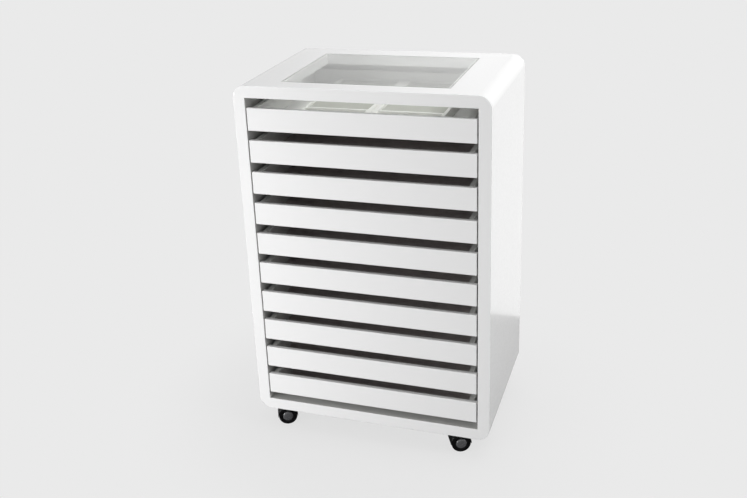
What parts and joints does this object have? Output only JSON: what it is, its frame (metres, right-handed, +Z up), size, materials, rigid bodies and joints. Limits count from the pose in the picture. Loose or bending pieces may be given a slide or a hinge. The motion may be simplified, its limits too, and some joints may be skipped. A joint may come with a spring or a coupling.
{
  "type": "drawer cabinet",
  "caption": "White lacquered lens cabinet with shallow drawers, finger gaps over their fronts, a glass window in the top over the display drawer, and hooded swivel casters.",
  "frame": {"origin": "on the floor under the middle of the cabinet's box", "axes": "+X to the right seen from the front, -Y out of the drawer fronts, +Z up"},
  "size_m": [0.625, 0.42, 0.95],
  "materials": {
    "lacquered_board": "white high-gloss lacquer on MDF",
    "back_board": "white melamine-faced board",
    "drawer_board": "light grey melamine-faced board with a charcoal liner",
    "gasket": "matte black rubber",
    "clear_glass": "polished clear glass",
    "zinc_steel": "zinc-plated sheet steel",
    "caster_steel": "black zinc-plated steel",
    "black_nylon": "satin black moulded nylon",
    "wheel_nylon": "black moulded nylon with dark grey caps",
    "tray_plastic": "white moulded trays with grey-green cells"
  },
  "bodies": {
    "carcass": {"top_panel": "lacquered_board", "bottom_panel": "lacquered_board", "left_side_panel": "lacquered_board", "right_side_panel": "lacquered_board", "back_panel": "back_board", "window_gasket": "gasket", "window_glass": "clear_glass", "slide_channels_left": "zinc_steel", "slide_channels_right": "zinc_steel", "caster_plates": "caster_steel", "caster_screws": "zinc_steel"},
    "drawer_01": {"drawer_01_front": "lacquered_board", "drawer_01_box": "drawer_board", "drawer_01_runners": "zinc_steel", "display_insert": "tray_plastic"},
    "drawer_02": {"drawer_02_front": "lacquered_board", "drawer_02_box": "drawer_board", "drawer_02_runners": "zinc_steel"},
    "drawer_03": {"drawer_03_front": "lacquered_board", "drawer_03_box": "drawer_board", "drawer_03_runners": "zinc_steel"},
    "drawer_04": {"drawer_04_front": "lacquered_board", "drawer_04_box": "drawer_board", "drawer_04_runners": "zinc_steel"},
    "drawer_05": {"drawer_05_front": "lacquered_board", "drawer_05_box": "drawer_board", "drawer_05_runners": "zinc_steel"},
    "drawer_06": {"drawer_06_front": "lacquered_board", "drawer_06_box": "drawer_board", "drawer_06_runners": "zinc_steel"},
    "drawer_07": {"drawer_07_front": "lacquered_board", "drawer_07_box": "drawer_board", "drawer_07_runners": "zinc_steel"},
    "drawer_08": {"drawer_08_front": "lacquered_board", "drawer_08_box": "drawer_board", "drawer_08_runners": "zinc_steel"},
    "drawer_09": {"drawer_09_front": "lacquered_board", "drawer_09_box": "drawer_board", "drawer_09_runners": "zinc_steel"},
    "drawer_10": {"drawer_10_front": "lacquered_board", "drawer_10_box": "drawer_board", "drawer_10_runners": "zinc_steel"},
    "caster_front_left": {"caster_front_left_housing": "black_nylon", "caster_front_left_axle": "zinc_steel"},
    "caster_front_left_wheel_near": {"caster_front_left_wheel_near": "wheel_nylon"},
    "caster_front_left_wheel_far": {"caster_front_left_wheel_far": "wheel_nylon"},
    "caster_front_right": {"caster_front_right_housing": "black_nylon", "caster_front_right_axle": "zinc_steel"},
    "caster_front_right_wheel_near": {"caster_front_right_wheel_near": "wheel_nylon"},
    "caster_front_right_wheel_far": {"caster_front_right_wheel_far": "wheel_nylon"},
    "caster_rear_left": {"caster_rear_left_housing": "black_nylon", "caster_rear_left_axle": "zinc_steel"},
    "caster_rear_left_wheel_near": {"caster_rear_left_wheel_near": "wheel_nylon"},
    "caster_rear_left_wheel_far": {"caster_rear_left_wheel_far": "wheel_nylon"},
    "caster_rear_right": {"caster_rear_right_housing": "black_nylon", "caster_rear_right_axle": "zinc_steel"},
    "caster_rear_right_wheel_near": {"caster_rear_right_wheel_near": "wheel_nylon"},
    "caster_rear_right_wheel_far": {"caster_rear_right_wheel_far": "wheel_nylon"}
  },
  "joints": [
    {"name": "drawer_01_slide", "type": "slide", "parent": "carcass", "child": "drawer_01", "axis": [0, -1, 0], "range_m": [0, 0.26]},
    {"name": "drawer_02_slide", "type": "slide", "parent": "carcass", "child": "drawer_02", "axis": [0, -1, 0], "range_m": [0, 0.26]},
    {"name": "drawer_03_slide", "type": "slide", "parent": "carcass", "child": "drawer_03", "axis": [0, -1, 0], "range_m": [0, 0.26]},
    {"name": "drawer_04_slide", "type": "slide", "parent": "carcass", "child": "drawer_04", "axis": [0, -1, 0], "range_m": [0, 0.26]},
    {"name": "drawer_05_slide", "type": "slide", "parent": "carcass", "child": "drawer_05", "axis": [0, -1, 0], "range_m": [0, 0.26]},
    {"name": "drawer_06_slide", "type": "slide", "parent": "carcass", "child": "drawer_06", "axis": [0, -1, 0], "range_m": [0, 0.26]},
    {"name": "drawer_07_slide", "type": "slide", "parent": "carcass", "child": "drawer_07", "axis": [0, -1, 0], "range_m": [0, 0.26]},
    {"name": "drawer_08_slide", "type": "slide", "parent": "carcass", "child": "drawer_08", "axis": [0, -1, 0], "range_m": [0, 0.26]},
    {"name": "drawer_09_slide", "type": "slide", "parent": "carcass", "child": "drawer_09", "axis": [0, -1, 0], "range_m": [0, 0.26]},
    {"name": "drawer_10_slide", "type": "slide", "parent": "carcass", "child": "drawer_10", "axis": [0, -1, 0], "range_m": [0, 0.26]},
    {"name": "caster_front_left_swivel", "type": "hinge", "parent": "carcass", "child": "caster_front_left", "pos_m": [-0.2405, -0.16, 0.0543], "axis": [0, 0, 1], "continuous": true},
    {"name": "caster_front_left_wheel_near_spin", "type": "hinge", "parent": "caster_front_left", "child": "caster_front_left_wheel_near", "pos_m": [-0.25409, -0.16634, 0.025], "axis": [0.4226, -0.9063, 0], "continuous": true},
    {"name": "caster_front_left_wheel_far_spin", "type": "hinge", "parent": "caster_front_left", "child": "caster_front_left_wheel_far", "pos_m": [-0.25409, -0.16634, 0.025], "axis": [0.4226, -0.9063, 0], "continuous": true},
    {"name": "caster_front_right_swivel", "type": "hinge", "parent": "carcass", "child": "caster_front_right", "pos_m": [0.2405, -0.16, 0.0543], "axis": [0, 0, 1], "continuous": true},
    {"name": "caster_front_right_wheel_near_spin", "type": "hinge", "parent": "caster_front_right", "child": "caster_front_right_wheel_near", "pos_m": [0.22691, -0.16634, 0.025], "axis": [0.4226, -0.9063, 0], "continuous": true},
    {"name": "caster_front_right_wheel_far_spin", "type": "hinge", "parent": "caster_front_right", "child": "caster_front_right_wheel_far", "pos_m": [0.22691, -0.16634, 0.025], "axis": [0.4226, -0.9063, 0], "continuous": true},
    {"name": "caster_rear_left_swivel", "type": "hinge", "parent": "carcass", "child": "caster_rear_left", "pos_m": [-0.2405, 0.16, 0.0543], "axis": [0, 0, 1], "continuous": true},
    {"name": "caster_rear_left_wheel_near_spin", "type": "hinge", "parent": "caster_rear_left", "child": "caster_rear_left_wheel_near", "pos_m": [-0.25409, 0.15366, 0.025], "axis": [0.4226, -0.9063, 0], "continuous": true},
    {"name": "caster_rear_left_wheel_far_spin", "type": "hinge", "parent": "caster_rear_left", "child": "caster_rear_left_wheel_far", "pos_m": [-0.25409, 0.15366, 0.025], "axis": [0.4226, -0.9063, 0], "continuous": true},
    {"name": "caster_rear_right_swivel", "type": "hinge", "parent": "carcass", "child": "caster_rear_right", "pos_m": [0.2405, 0.16, 0.0543], "axis": [0, 0, 1], "continuous": true},
    {"name": "caster_rear_right_wheel_near_spin", "type": "hinge", "parent": "caster_rear_right", "child": "caster_rear_right_wheel_near", "pos_m": [0.22691, 0.15366, 0.025], "axis": [0.4226, -0.9063, 0], "continuous": true},
    {"name": "caster_rear_right_wheel_far_spin", "type": "hinge", "parent": "caster_rear_right", "child": "caster_rear_right_wheel_far", "pos_m": [0.22691, 0.15366, 0.025], "axis": [0.4226, -0.9063, 0], "continuous": true}
  ]
}
